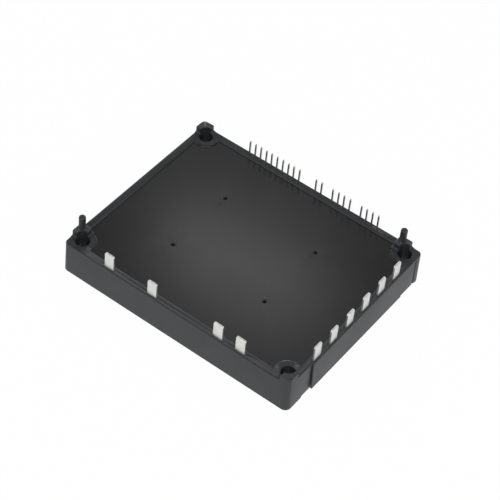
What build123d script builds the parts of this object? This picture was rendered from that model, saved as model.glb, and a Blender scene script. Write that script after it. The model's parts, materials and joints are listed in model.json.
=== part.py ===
from build123d import *
from math import radians, tan
import os

os.makedirs("parts", exist_ok=True)

# Frame of reference: millimetres, +Z up, origin under the middle of the module on the heat sink face.
# +X runs along the long side and +Y towards the row of thin pins.

# Moulded frame: the rim is its top edge and the foot its bottom edge
rim_length = 100.6
rim_width = 80.6
rim_height = 13.7
foot_level = 0.2
draft_angle = 1.5
corner_radius = 1.0
rim_round = 0.3
rim_band = 3.0
spread = 2 * (rim_height - foot_level) * tan(radians(draft_angle))
foot_length = rim_length + spread
foot_width = rim_width + spread

# Fixing holes and the columns round them
hole_diameter = 5.3
hole_inset = 4.8
column_radius = 4.8
column_round = 0.4
column_round_arc = 72
hole_x = rim_length / 2 - hole_inset
hole_y = rim_width / 2 - hole_inset
corners = [(way_x, way_y) for way_x in (-1, 1) for way_y in (-1, 1)]
hole_places = [(way_x * hole_x, way_y * hole_y) for way_x, way_y in corners]

# Raised seats for the circuit board above the module, and the two posts that guide it
seat_height = 2.5
seat_flare = 0.7
seat_round = 0.5
seat_chamfer = 0.25
collar_length = 5.2
post_diameter = 2.6
post_height = 8.0
post_inset = 1.65
post_offset = 3.4
post_tip = 0.7
seat_top = rim_height + seat_height

# Stepped short wall: it is set back before a step near its front end, and a groove marks its back end
step_proud = 0.6
step_from_front = 13.3
groove_from_back = 4.5
groove_width = 0.6
groove_depth = 0.5
groove_stop = 0.8
notch_height = 0.7
front_notch_length = 5.5
front_notch_overlap = 0.2
back_notch_length = 8.8
back_notch_from_back = 3.1
step_y = step_from_front - rim_width / 2
groove_places = [
    (rim_length / 2 - step_proud, step_y - groove_width / 2),
    (rim_length / 2, rim_width / 2 - groove_from_back),
]
notch_spans = [
    (step_y + front_notch_overlap, front_notch_length),
    (rim_width / 2 - back_notch_from_back, back_notch_length),
]

# Cover, let into the frame on a narrow shoulder
cover_sink = 0.45
cover_thickness = 1.5
cover_gap = 0.06
cover_chamfer = 0.15
shoulder = 1.2
glue_thickness = 0.1
dimple_diameter = 1.7
dimple_depth = 0.9
dimple_edge = 0.15
dimple_spread_x = 41.0
dimple_spread_y = 30.6
cover_bottom = rim_height - cover_sink - cover_thickness
shoulder_level = cover_bottom - glue_thickness
wall = rim_band + shoulder
rim_column = column_radius + shoulder

# Base plate, let into the underside and standing proud of the foot
plate_thickness = 3.0
plate_margin = 1.6
plate_gap = 0.1
plate_chamfer = 0.3
plate_length = foot_length - 2 * plate_margin
plate_width = foot_width - 2 * plate_margin
plate_radius = hole_inset + spread / 2 - plate_margin

# Ledge inside three walls, which carries the feet of the terminals and pins
ledge_depth = 5.15
ledge_width = 5.0
ledge_level = shoulder_level - ledge_depth
ledge_reach = wall + ledge_width

# Flat terminals: in the rows an x is a terminal and a dot an empty step
terminal_pitch = 9.65
terminal_thickness = 0.8
terminal_height = 6.8
terminal_foot_gap = 0.6
terminal_top = rim_height + terminal_height
terminal_foot = ledge_reach - terminal_foot_gap
terminal_bend = 1.2
terminal_corner = 0.7
front_terminal_width = 4.0
front_terminal_inset = 1.3
front_terminal_row = "x.x..xx"
front_row_shift = -1.15
side_terminal_width = 3.9
side_terminal_inset = 1.25
side_terminal_row = "xxxxxx"
side_row_shift = 0.05
slot_gap = 0.05

# Thin control pins, marked in the same way
pin_size = 0.6
pin_height = 6.6
pin_inset = 0.8
pin_foot_gap = 1.2
pin_top = rim_height + pin_height
pin_foot = ledge_reach - pin_foot_gap
pin_bend = 0.8
pin_point = 0.15
pin_pitch = 2.54
pin_row = "xxxxxxxxxx..xx.xxxx.xxxx"
pin_row_shift = 1.5

# Floor of the cavity: what lies on it keeps clear of the ledges, the walls and the four columns
floor_gap = 1.6
left_gap = 2.6
inner_half = min(rim_width / 2 - ledge_reach - floor_gap, hole_y - rim_column)
inner_left = left_gap + wall - rim_length / 2
inner_right = rim_length / 2 - ledge_reach - floor_gap

# Ceramic substrates on the base plate, with the control board behind the two large ones
solder_thickness = 0.15
copper_thickness = 0.3
ceramic_thickness = 0.6
copper_margin = 1.0
track_gap = 1.0
substrate_gap = 1.0
phase_count = 3
row_count = 2
converter_length = 29.5
side_length = 5.4
side_gap = 0.8
board_width = 17.5
board_gap = 1.5
board_side_gap = 1.1
board_left_gap = 0.5
board_y = inner_half - board_width / 2
side_x = rim_length / 2 - ledge_reach - side_gap - side_length / 2
side_centre = (side_x, board_y)
side_size = (side_length, board_width)
board_left = inner_left + board_left_gap
board_right = side_x - side_length / 2 - board_side_gap
board_length = board_right - board_left
board_x = (board_left + board_right) / 2
substrate_width = 2 * inner_half - board_width - board_gap
substrate_y = substrate_width / 2 - inner_half
inverter_length = inner_right - inner_left - converter_length - substrate_gap
inverter_x = inner_right - inverter_length / 2
inverter_centre = (inverter_x, substrate_y)
inverter_size = (inverter_length, substrate_width)
converter_x = inner_left + converter_length / 2
converter_centre = (converter_x, substrate_y)
converter_size = (converter_length, substrate_width)
back_copper_level = plate_thickness + solder_thickness
ceramic_level = back_copper_level + copper_thickness
track_level = ceramic_level + ceramic_thickness
chip_level = track_level + copper_thickness

# Chips and the sensor
chip_thickness = 0.3
switch_size = 7.0
diode_size = 5.5
rectifier_size = 5.0
brake_size = 4.5
sensor_length = 2.0
sensor_width = 1.2
sensor_height = 0.8
wire_level = chip_level + chip_thickness

# Bond wires, drawn as arched ribbons
wire_thickness = 0.3
wire_width = 0.4
wire_rise = 0.9
wire_slope_share = 0.2
wire_pitch = 1.6
wire_landing = 0.9

# Control board
board_thickness = 1.0
board_glue = 0.3
board_glue_margin = 1.0
driver_size = (10.0, 5.5, 2.0)
driver_count = 4
driver_pitch = board_length / driver_count
driver_offset = -1.0
capacitor_size = (3.2, 1.6, 1.3)
capacitor_count = 8
capacitor_pitch = board_length / capacitor_count
capacitor_from_edge = 2.25
board_centre = (board_x, board_y)
board_edge = board_y - board_width / 2
board_level = plate_thickness + board_glue
board_top = board_level + board_thickness

# Gel over the wires
gel_gap = 0.2
air_gap = 1.35
gel_level = ledge_level + terminal_thickness + wire_rise + gel_gap
gel_thickness = shoulder_level - air_gap - gel_level

# Board seats: hole, side on which the seat lies in X and in Y, and its lengths
far_reach = 2 * hole_inset
board_seats = [
    ((hole_x, -hole_y), 1, -1, far_reach, far_reach),
    ((-hole_x, hole_y), -1, 1, far_reach, far_reach),
    ((-hole_x, -hole_y), -1, 1, far_reach, collar_length),
    ((hole_x, hole_y), -1, 1, collar_length, far_reach),
]
post_places = [
    (-rim_length / 2 + post_inset, -hole_y + post_offset),
    (hole_x - post_offset, rim_width / 2 - post_inset),
]


def row_places(row, pitch, shift):
    """Places along a row of equal steps, centred on a shift, where the row has an x."""
    first = shift - pitch * (len(row) - 1) / 2
    return [first + pitch * step for step, mark in enumerate(row) if mark == "x"]


front_terminal_x = row_places(front_terminal_row, terminal_pitch, front_row_shift)
side_terminal_y = row_places(side_terminal_row, terminal_pitch, side_row_shift)
pin_x = row_places(pin_row, pin_pitch, pin_row_shift)

# Bent strips: planes whose first axis points inwards from the rim and whose second axis points up
front_planes = [Plane((x, -rim_width / 2, 0), x_dir=(0, 1, 0), z_dir=(1, 0, 0)) for x in front_terminal_x]
side_planes = [Plane((rim_length / 2, y, 0), x_dir=(-1, 0, 0), z_dir=(0, 1, 0)) for y in side_terminal_y]
pin_planes = [Plane((x, rim_width / 2, 0), x_dir=(0, -1, 0), z_dir=(-1, 0, 0)) for x in pin_x]

# Each strip: name, plane, width, thickness, inset, top, end of the foot, bend and rounding of its top
strips = []
for number, plane in enumerate(front_planes, 1):
    strips.append((f"terminal_front_{number}", plane, front_terminal_width, terminal_thickness,
                   front_terminal_inset, terminal_top, terminal_foot, terminal_bend, terminal_corner))
for number, plane in enumerate(side_planes, 1):
    strips.append((f"terminal_side_{number}", plane, side_terminal_width, terminal_thickness,
                   side_terminal_inset, terminal_top, terminal_foot, terminal_bend, terminal_corner))
for number, plane in enumerate(pin_planes, 1):
    strips.append((f"control_pin_{number:02d}", plane, pin_size, pin_size,
                   pin_inset, pin_top, pin_foot, pin_bend, pin_point))

# Substrates: name, centre, size, columns and rows of copper tracks
substrates = [
    ("inverter", inverter_centre, inverter_size, phase_count, row_count),
    ("converter", converter_centre, converter_size, phase_count, row_count),
    ("side", side_centre, side_size, 1, 1),
]


def track_pitch(length, count):
    """Spacing of the copper tracks that fill one side of a substrate."""
    return (length - 2 * copper_margin + track_gap) / count


inverter_pitch = track_pitch(inverter_length, phase_count)
converter_pitch = track_pitch(converter_length, phase_count)
row_pitch = track_pitch(substrate_width, row_count)

# Each long track carries two chips, in the middle of its halves
cell_offset = (row_pitch - track_gap) / 4


def drafted_block(top, set_back):
    """The frame's outer form up to a given height, with its short wall set back by an amount."""
    with BuildPart() as block:
        with BuildSketch(Plane.XY.offset(foot_level)):
            with Locations((-set_back / 2, 0)):
                RectangleRounded(foot_length - set_back, foot_width, corner_radius)
        extrude(amount=top - foot_level, taper=draft_angle)
    return block.part


def rounded_block(set_back):
    """The same form up to the rim, with its top edges rounded."""
    with BuildPart() as block:
        add(drafted_block(rim_height, set_back))
        fillet(block.faces().sort_by(Axis.Z)[-1].edges(), rim_round)
    return block.part


def opening_outline(level, inset, gap):
    """The frame's opening at a height, less the four corner columns and the two collars."""
    with BuildSketch(Plane.XY.offset(level)) as outline:
        Rectangle(rim_length - 2 * (inset + gap), rim_width - 2 * (inset + gap))
        reach = 2 * (column_radius + gap)
        for way_x, way_y in corners:
            with Locations((way_x * hole_x, way_y * hole_y)):
                Circle(column_radius + gap, mode=Mode.SUBTRACT)
            with Locations((way_x * (hole_x + hole_inset / 2), way_y * hole_y)):
                Rectangle(hole_inset, reach, mode=Mode.SUBTRACT)
            with Locations((way_x * hole_x, way_y * (hole_y + hole_inset / 2))):
                Rectangle(reach, hole_inset, mode=Mode.SUBTRACT)
        collar_reach = collar_length + seat_flare + gap
        collar_depth = hole_inset + seat_flare + gap
        with Locations((-rim_length / 2 + collar_depth / 2, -hole_y + collar_reach / 2)):
            Rectangle(collar_depth, collar_reach, mode=Mode.SUBTRACT)
        with Locations((hole_x - collar_reach / 2, rim_width / 2 - collar_depth / 2)):
            Rectangle(collar_reach, collar_depth, mode=Mode.SUBTRACT)
    return outline.sketch


def board_seat(hole, way_x, way_y, length_x, length_y):
    """One raised seat beside a fixing hole, with a flared foot, cut to the frame's outer form."""
    centre_x = hole[0] + way_x * length_x / 2
    centre_y = hole[1] + way_y * length_y / 2
    with BuildPart() as seat:
        with BuildSketch(Plane.XY.offset(rim_height - seat_flare)):
            with Locations((centre_x, centre_y)):
                Rectangle(length_x + 2 * seat_flare + seat_round, length_y + 2 * seat_flare + seat_round)
        extrude(amount=seat_flare)
        with BuildSketch(Plane.XY.offset(rim_height)):
            with Locations((centre_x, centre_y)):
                RectangleRounded(length_x, length_y, seat_round)
        extrude(amount=seat_height)
        chamfer(seat.faces().sort_by(Axis.Z)[-1].edges(), seat_chamfer)
        step_face = seat.faces().filter_by(Axis.Z).sort_by(Axis.Z)[-2]
        fillet(step_face.inner_wires()[0].edges(), seat_flare)
        add(drafted_block(seat_top, step_proud), mode=Mode.INTERSECT)
    return seat.part


def bent_strip(plane, width, thickness, inset, top, foot, bend, tip):
    """A strip bent to an L: its foot lies on the ledge and its blade rises through the wall."""
    outer = inset - thickness / 2
    with BuildPart() as strip:
        with BuildSketch(plane):
            with BuildLine():
                Polyline(
                    (outer, ledge_level),
                    (foot, ledge_level),
                    (foot, ledge_level + thickness),
                    (outer + thickness, ledge_level + thickness),
                    (outer + thickness, top),
                    (outer, top),
                    close=True,
                )
            corner_points = make_face().vertices()
            heel = corner_points.sort_by_distance((outer, ledge_level, 0))[0]
            crook = corner_points.sort_by_distance((outer + thickness, ledge_level + thickness, 0))[0]
            fillet(heel, bend)
            if width > thickness:
                fillet(crook, bend - thickness)
        extrude(amount=width / 2, both=True)
        if width > thickness:
            top_edges = strip.faces().sort_by(Axis.Z)[-1].edges()
            fillet(top_edges.filter_by(Axis(plane.origin, plane.x_dir)), tip)
        else:
            chamfer(strip.faces().sort_by(Axis.Z)[-1].edges(), tip)
    return strip.part


def bond_wire(plane, start, end, start_level, end_level):
    """A flat-topped loop of wire in a plane whose first axis runs along it and whose second is up."""
    way = 1 if end > start else -1
    crest = max(start_level, end_level) + wire_rise
    slope = wire_slope_share * (end - start)
    thick = way * wire_thickness
    with BuildPart() as wire:
        with BuildSketch(plane):
            with BuildLine():
                Polyline(
                    (start, start_level),
                    (start + slope, crest),
                    (end - slope, crest),
                    (end, end_level),
                    (end - thick, end_level),
                    (end - slope - thick / 2, crest - wire_thickness),
                    (start + slope + thick / 2, crest - wire_thickness),
                    (start + thick, start_level),
                    close=True,
                )
            make_face()
        extrude(amount=wire_width / 2, both=True)
    return wire.part


def plane_along_x(y):
    """The upright plane at y, with X along its first axis."""
    return Plane((0, y, 0), x_dir=(1, 0, 0), z_dir=(0, -1, 0))


def plane_along_y(x):
    """The upright plane at x, with Y along its first axis."""
    return Plane((x, 0, 0), x_dir=(0, 1, 0), z_dir=(1, 0, 0))


with BuildPart() as housing:
    # outer form: full length behind the step of the short wall and set back before it
    add(rounded_block(0))
    split(bisect_by=Plane((0, step_y, 0), z_dir=(0, 1, 0)), keep=Keep.TOP)
    add(rounded_block(step_proud))
    # board seats
    for seat in board_seats:
        add(board_seat(*seat))
    # opening for the cover, cavity below it and the space between the ledges
    extrude(opening_outline(shoulder_level, rim_band, 0), amount=rim_height, mode=Mode.SUBTRACT)
    extrude(opening_outline(ledge_level, rim_band, shoulder), amount=rim_height, mode=Mode.SUBTRACT)
    with BuildSketch(Plane.XY.offset(plate_thickness)):
        with Locations((-ledge_width / 2, 0)):
            Rectangle(rim_length - 2 * wall - ledge_width, rim_width - 2 * (wall + ledge_width))
        with Locations(*hole_places):
            Circle(rim_column, mode=Mode.SUBTRACT)
    extrude(amount=ledge_level, mode=Mode.SUBTRACT)
    # rounded edges of the columns towards the cover
    for way_x, way_y in corners:
        place = (way_x * hole_x, way_y * hole_y, rim_height)
        inward = Vector(-way_x, -way_y, 0).normalized().rotate(Axis.Z, -column_round_arc / 2)
        with BuildSketch(Plane(place, x_dir=inward, z_dir=inward.cross(Vector(0, 0, 1)))):
            with BuildLine():
                CenterArc((column_radius - column_round, -column_round), column_round, 0, 90)
                Polyline(
                    (column_radius, -column_round),
                    (rim_column, -column_round),
                    (rim_column, column_round),
                    (column_radius - column_round, column_round),
                    (column_radius - column_round, 0),
                )
            make_face()
        revolve(axis=Axis(place, (0, 0, 1)), revolution_arc=column_round_arc, mode=Mode.SUBTRACT)
    # recess for the base plate
    with BuildSketch():
        RectangleRounded(plate_length + 2 * plate_gap, plate_width + 2 * plate_gap, plate_radius + plate_gap)
    extrude(amount=plate_thickness, mode=Mode.SUBTRACT)
    # fixing holes
    with Locations(*hole_places):
        Hole(hole_diameter / 2)
    # slots that hold the terminals and pins
    for name, plane, width, thickness, inset, top, foot, bend, tip in strips:
        with BuildSketch(plane):
            with Locations((inset, ledge_level)):
                Rectangle(thickness + 2 * slot_gap, rim_height, align=(Align.CENTER, Align.MIN))
                Rectangle(foot - inset, thickness + slot_gap, align=(Align.MIN, Align.MIN))
        extrude(amount=width / 2 + slot_gap, both=True, mode=Mode.SUBTRACT)
    # grooves and foot notches of the short wall
    for wall_face, centre in groove_places:
        with BuildSketch(Plane.XY):
            with Locations((wall_face - groove_depth, centre)):
                Rectangle(foot_length, groove_width, align=(Align.MIN, Align.CENTER))
        extrude(amount=rim_height - groove_stop, mode=Mode.SUBTRACT)
    for end, length in notch_spans:
        with BuildSketch(Plane.XY):
            with Locations((plate_length / 2, end)):
                Rectangle(foot_length, length, align=(Align.MIN, Align.MAX))
        extrude(amount=foot_level + notch_height, mode=Mode.SUBTRACT)
    # guide posts
    with BuildSketch(Plane.XY.offset(rim_height)):
        with Locations(*post_places):
            Circle(post_diameter / 2)
    extrude(amount=post_height)
    fillet(housing.edges().group_by(Axis.Z)[-1], post_tip)
housing.part.label = "housing"
export_step(housing.part, "parts/housing.step")

with BuildPart() as top_cover:
    extrude(opening_outline(cover_bottom, rim_band, cover_gap), amount=cover_thickness)
    chamfer(top_cover.faces().sort_by(Axis.Z)[-1].edges(), cover_chamfer)
    with BuildSketch(Plane.XY.offset(cover_bottom + cover_thickness)):
        with GridLocations(dimple_spread_x, dimple_spread_y, 2, 2):
            Circle(dimple_diameter / 2)
    extrude(amount=-dimple_depth, mode=Mode.SUBTRACT)
    chamfer(top_cover.faces().sort_by(Axis.Z)[-1].inner_wires().edges(), dimple_edge)
top_cover.part.label = "top_cover"
export_step(top_cover.part, "parts/top_cover.step")

with BuildPart() as cover_adhesive:
    extrude(opening_outline(shoulder_level, rim_band, cover_gap), amount=glue_thickness)
    extrude(opening_outline(shoulder_level, rim_band, shoulder), amount=glue_thickness, mode=Mode.SUBTRACT)
cover_adhesive.part.label = "cover_adhesive"
export_step(cover_adhesive.part, "parts/cover_adhesive.step")

with BuildPart() as base_plate:
    with BuildSketch():
        RectangleRounded(plate_length, plate_width, plate_radius)
        with Locations(*hole_places):
            Circle(hole_diameter / 2, mode=Mode.SUBTRACT)
    extrude(amount=plate_thickness)
    chamfer(base_plate.faces().sort_by(Axis.Z)[0].outer_wire().edges(), plate_chamfer)
base_plate.part.label = "base_plate"
export_step(base_plate.part, "parts/base_plate.step")

for name, *form in strips:
    strip_part = bent_strip(*form)
    strip_part.label = name
    export_step(strip_part, f"parts/{name}.step")

with BuildPart() as solder_layers:
    with BuildSketch(Plane.XY.offset(plate_thickness)):
        for name, centre, size, columns, rows in substrates:
            with Locations(centre):
                Rectangle(size[0] - 2 * copper_margin, size[1] - 2 * copper_margin)
    extrude(amount=solder_thickness)
solder_layers.part.label = "solder_layers"
export_step(solder_layers.part, "parts/solder_layers.step")

for name, centre, size, columns, rows in substrates:
    with BuildPart() as back_copper:
        with BuildSketch(Plane.XY.offset(back_copper_level)):
            with Locations(centre):
                Rectangle(size[0] - 2 * copper_margin, size[1] - 2 * copper_margin)
        extrude(amount=copper_thickness)
    back_copper.part.label = f"{name}_back_copper"
    export_step(back_copper.part, f"parts/{name}_back_copper.step")

    with BuildPart() as ceramic:
        with BuildSketch(Plane.XY.offset(ceramic_level)):
            with Locations(centre):
                Rectangle(*size)
        extrude(amount=ceramic_thickness)
    ceramic.part.label = f"{name}_ceramic"
    export_step(ceramic.part, f"parts/{name}_ceramic.step")

    pitch_x = track_pitch(size[0], columns)
    pitch_y = track_pitch(size[1], rows)
    with BuildPart() as tracks:
        with BuildSketch(Plane.XY.offset(track_level)):
            with Locations(centre):
                with GridLocations(pitch_x, pitch_y, columns, rows):
                    Rectangle(pitch_x - track_gap, pitch_y - track_gap)
        extrude(amount=copper_thickness)
    tracks.part.label = f"{name}_tracks"
    export_step(tracks.part, f"parts/{name}_tracks.step")

with BuildPart() as inverter_switches:
    with BuildSketch(Plane.XY.offset(chip_level)):
        with Locations(inverter_centre):
            with GridLocations(inverter_pitch, row_pitch + 2 * cell_offset, phase_count, row_count):
                Rectangle(switch_size, switch_size)
    extrude(amount=chip_thickness)
inverter_switches.part.label = "inverter_switches"
export_step(inverter_switches.part, "parts/inverter_switches.step")

with BuildPart() as inverter_diodes:
    with BuildSketch(Plane.XY.offset(chip_level)):
        with Locations(inverter_centre):
            with GridLocations(inverter_pitch, row_pitch - 2 * cell_offset, phase_count, row_count):
                Rectangle(diode_size, diode_size)
    extrude(amount=chip_thickness)
inverter_diodes.part.label = "inverter_diodes"
export_step(inverter_diodes.part, "parts/inverter_diodes.step")

with BuildPart() as rectifier_diodes:
    with BuildSketch(Plane.XY.offset(chip_level)):
        with Locations(converter_centre):
            with GridLocations(converter_pitch, row_pitch + 2 * cell_offset, phase_count, row_count):
                Rectangle(rectifier_size, rectifier_size)
    extrude(amount=chip_thickness)
rectifier_diodes.part.label = "rectifier_diodes"
export_step(rectifier_diodes.part, "parts/rectifier_diodes.step")

# The brake's two chips stand on the first two tracks of the converter's back row
brake_y = substrate_y + row_pitch / 2 - cell_offset
brake_places = {"brake_switch": converter_x - converter_pitch, "brake_diode": converter_x}
for name, place_x in brake_places.items():
    with BuildPart() as brake_chip:
        with BuildSketch(Plane.XY.offset(chip_level)):
            with Locations((place_x, brake_y)):
                Rectangle(brake_size, brake_size)
        extrude(amount=chip_thickness)
    brake_chip.part.label = name
    export_step(brake_chip.part, f"parts/{name}.step")

sensor_y = board_y + board_width / 2 - copper_margin - sensor_width
with BuildPart() as thermistor:
    with BuildSketch(Plane.XY.offset(chip_level)):
        with Locations((side_x, sensor_y)):
            Rectangle(sensor_length, sensor_width)
    extrude(amount=sensor_height)
thermistor.part.label = "thermistor"
export_step(thermistor.part, "parts/thermistor.step")

with BuildPart() as control_board:
    with BuildSketch(Plane.XY.offset(board_level)):
        with Locations(board_centre):
            Rectangle(board_length, board_width)
    extrude(amount=board_thickness)
control_board.part.label = "control_board"
export_step(control_board.part, "parts/control_board.step")

with BuildPart() as board_adhesive:
    with BuildSketch(Plane.XY.offset(plate_thickness)):
        with Locations(board_centre):
            Rectangle(board_length - 2 * board_glue_margin, board_width - 2 * board_glue_margin)
    extrude(amount=board_glue)
board_adhesive.part.label = "board_adhesive"
export_step(board_adhesive.part, "parts/board_adhesive.step")

with BuildPart() as driver_circuits:
    with BuildSketch(Plane.XY.offset(board_top)):
        with Locations((board_x, board_y + driver_offset)):
            with GridLocations(driver_pitch, driver_pitch, driver_count, 1):
                Rectangle(driver_size[0], driver_size[1])
    extrude(amount=driver_size[2])
driver_circuits.part.label = "driver_circuits"
export_step(driver_circuits.part, "parts/driver_circuits.step")

with BuildPart() as board_capacitors:
    with BuildSketch(Plane.XY.offset(board_top)):
        with Locations((board_x, board_edge + capacitor_from_edge)):
            with GridLocations(capacitor_pitch, capacitor_pitch, capacitor_count, 1):
                Rectangle(capacitor_size[0], capacitor_size[1])
    extrude(amount=capacitor_size[2])
board_capacitors.part.label = "board_capacitors"
export_step(board_capacitors.part, "parts/board_capacitors.step")

# Loops between the chips, the tracks and the control board
pair = (-wire_pitch / 2, wire_pitch / 2)
row_half = row_pitch / 2
side_edge = board_edge + copper_margin
inverter_edge = substrate_y + substrate_width / 2 - copper_margin
with BuildPart() as chip_wires:
    for column in (-1, 0, 1):
        column_x = inverter_x + column * inverter_pitch
        for shift in pair:
            plane = plane_along_y(column_x + shift)
            for row in (-1, 1):
                switch_y = substrate_y + row * (row_half + cell_offset)
                diode_y = substrate_y + row * (row_half - cell_offset)
                add(bond_wire(plane, switch_y, diode_y + row * wire_landing, wire_level, wire_level))
            lower_diode = substrate_y - row_half + cell_offset
            upper_track = substrate_y + track_gap / 2
            add(bond_wire(plane, lower_diode, upper_track + wire_landing, wire_level, chip_level))
        gate_y = substrate_y + row_half + cell_offset + switch_size / 2 - wire_landing
        gate_plane = plane_along_y(column_x + switch_size / 2 - wire_landing)
        add(bond_wire(gate_plane, gate_y, board_edge + wire_landing, wire_level, board_top))
    for row in (-1, 1):
        row_y = substrate_y + row * (row_half + cell_offset)
        for column in (-1, 0):
            for shift in pair:
                first_x = converter_x + column * converter_pitch
                next_x = first_x + converter_pitch / 2 + track_gap / 2 + wire_landing
                add(bond_wire(plane_along_x(row_y + shift), first_x, next_x, wire_level, chip_level))
    for shift in pair:
        brake_plane = plane_along_x(brake_y + shift)
        add(bond_wire(brake_plane, converter_x - converter_pitch, converter_x, wire_level, wire_level))
        link_plane = plane_along_y(side_x + shift / 2)
        link_start = inverter_edge - wire_landing
        add(bond_wire(link_plane, link_start, side_edge + wire_landing, chip_level, chip_level))
chip_wires.part.label = "chip_wires"
export_step(chip_wires.part, "parts/chip_wires.step")

# Loops from the feet of the terminals to the tracks and from the feet of the pins to the board
front_landing = rim_width / 2 - inner_half + copper_margin + wire_landing
inverter_landing = rim_length / 2 - inner_right + copper_margin + wire_landing
side_landing = ledge_reach + side_gap + copper_margin + wire_landing
terminal_level = ledge_level + terminal_thickness
with BuildPart() as terminal_wires:
    for shift in pair:
        for plane in front_planes:
            start = terminal_foot - wire_landing
            add(bond_wire(plane.offset(shift), start, front_landing, terminal_level, chip_level))
        for plane in side_planes:
            over_side = plane.origin.Y > board_edge
            landing = side_landing if over_side else inverter_landing
            add(bond_wire(plane.offset(shift), start, landing, terminal_level, chip_level))
terminal_wires.part.label = "terminal_wires"
export_step(terminal_wires.part, "parts/terminal_wires.step")

pin_landing = rim_width / 2 - (board_y + board_width / 2 - wire_landing)
with BuildPart() as pin_wires:
    for plane in pin_planes:
        add(bond_wire(plane, pin_foot - wire_landing, pin_landing, ledge_level + pin_size, board_top))
pin_wires.part.label = "pin_wires"
export_step(pin_wires.part, "parts/pin_wires.step")

with BuildPart() as silicone_gel:
    extrude(opening_outline(gel_level, rim_band, shoulder), amount=gel_thickness)
silicone_gel.part.label = "silicone_gel"
export_step(silicone_gel.part, "parts/silicone_gel.step")
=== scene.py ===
import json
from math import radians

import bmesh
import bpy
import numpy as np
from bpy.props import FloatProperty, FloatVectorProperty, PointerProperty
from mathutils import Matrix, Quaternion, Vector


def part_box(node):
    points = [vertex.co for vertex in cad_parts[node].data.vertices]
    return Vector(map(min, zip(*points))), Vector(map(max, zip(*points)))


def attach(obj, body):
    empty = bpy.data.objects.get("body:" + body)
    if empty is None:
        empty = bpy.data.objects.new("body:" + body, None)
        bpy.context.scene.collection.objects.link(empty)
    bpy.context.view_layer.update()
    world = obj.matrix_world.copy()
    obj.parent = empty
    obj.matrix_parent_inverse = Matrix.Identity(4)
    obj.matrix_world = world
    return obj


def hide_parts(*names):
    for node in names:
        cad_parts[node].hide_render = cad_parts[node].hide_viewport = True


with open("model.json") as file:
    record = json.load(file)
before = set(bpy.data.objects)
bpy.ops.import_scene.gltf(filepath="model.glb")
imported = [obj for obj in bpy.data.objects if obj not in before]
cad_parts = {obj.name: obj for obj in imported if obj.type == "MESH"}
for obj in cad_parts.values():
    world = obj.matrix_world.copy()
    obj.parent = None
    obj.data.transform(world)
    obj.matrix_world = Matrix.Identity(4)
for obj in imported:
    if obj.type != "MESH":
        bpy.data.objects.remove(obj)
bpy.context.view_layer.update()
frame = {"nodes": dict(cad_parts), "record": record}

bl_info = {
    "name": "Power Module",
    "version": (1, 0, 0),
    "blender": (4, 5, 0),
    "location": "View3D > Sidebar > Power Module",
    "description": "Dresses the packed power module with finishes, pins, terminals, lights and a camera",
    "category": "Object",
}

MM = 0.001
NODES = frame["nodes"]
SLOT_OF = {part["node"]: part["material_slot"] for part in frame["record"]["subparts"]}
FRONT_TERMINALS = sorted(name for name in NODES if name.startswith("terminal_front_"))
SIDE_TERMINALS = sorted(name for name in NODES if name.startswith("terminal_side_"))
CONTROL_PINS = sorted(name for name in NODES if name.startswith("control_pin_"))

# Sizes as the frame's solids have them
DRAFT = radians(1.5)
FOOT_LEVEL = 0.2 * MM
RIM_LEVEL = 13.7 * MM
SEAT_LEVEL = 16.2 * MM
STEP_PROUD = 0.6 * MM
STEP_SHARE = 0.165
MOULD_CORNER = 1.0 * MM
COVER_LEVEL = 13.25 * MM
COVER_GAP = 0.06 * MM
COVER_EDGE = 0.2 * MM
COLUMN_PLACE = np.array([45.5, 35.5]) * MM
COLUMN_RADIUS = 4.8 * MM
COLUMN_ROUND = 0.4 * MM
DIMPLE_PLACE = np.array([20.5, 15.3]) * MM
TERMINAL_THICKNESS = 0.8 * MM

# Sizes of what this script adds to the solids
COLUMN_TURN = (radians(68), radians(202))
DIMPLE_REACH = 1.2 * MM
DIMPLE_DEPTH = 0.9 * MM
DIMPLE_TAPER = 0.45
TIP_SHARE = 0.45
ROUND_SHARE = 0.95
TERMINAL_SIDEWAYS = 0.06 * MM
TERMINAL_INWARDS = 0.08 * MM
SEAM = 0.02 * MM

# How finely new surfaces are divided, and the seeds of the small leans
FOOT_RINGS = 8
BEND_RINGS = 12
RISE_RINGS = 14
TIP_RINGS = 10
CORNER_POINTS = 5
COLLAR_POINTS = 12
COLLAR_RINGS = 48
TERMINAL_SEED = 7
PIN_SEED = 20

# Limits that sort a mesh's points and faces
MERGE_DISTANCE = 0.0005 * MM
UPRIGHT_BELOW = 0.1
OUTER_FROM = 0.7
RIDGE = 0.001
STRIP_SHARP = radians(50)
MOULDING_SHARP = radians(32)

# Tones and amounts of the finishes, with the painted light on the seats' tops and the painted shade in the
# dimples
WORN_TONE = (0.11, 0.11, 0.115)
WORN_SHARE = 0.08
WORN_POLISH = 0.03
# painted light: a lighter tone on the raised seats' tops, where light falls on them
PAINTED_SEAT_LIGHT_TONE = (0.058, 0.060, 0.062)
PAINTED_SEAT_LIGHT_SHARE = 0.8
DUST_TONE = (0.30, 0.29, 0.27)
DUST_AMOUNT = 0.10
# painted shade: below their top, the cover's dimples turn nearly black, as if shade falls in them
PIT_SHADE_TONE = (0.002, 0.002, 0.002)
PIT_STARTS = 0.15 * MM
PIT_FULL = 0.35 * MM
NO_PITS = -1.0
FINE_BUMP = 0.01 * MM
ROUGH_SPREAD = 0.06

# The stage
IMAGE_SIZE = 500
SENSOR_WIDTH = 36.0
FLOOR_HALF = 3.0
FLOOR_PAINT = (0.92, 0.92, 0.92)
FLOOR_GLOW_SHARE = 0.965
FLOOR_SEEN = 1.012
FLOOR_MIRRORED = 0.88
BACKDROP_FADE = (0.40, 0.72)
COVER_MIDDLE = (0, 0, 0.01)
MODULE_FOOT = (0, 0, 0)


# Sizes and colours that a user may change

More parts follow.
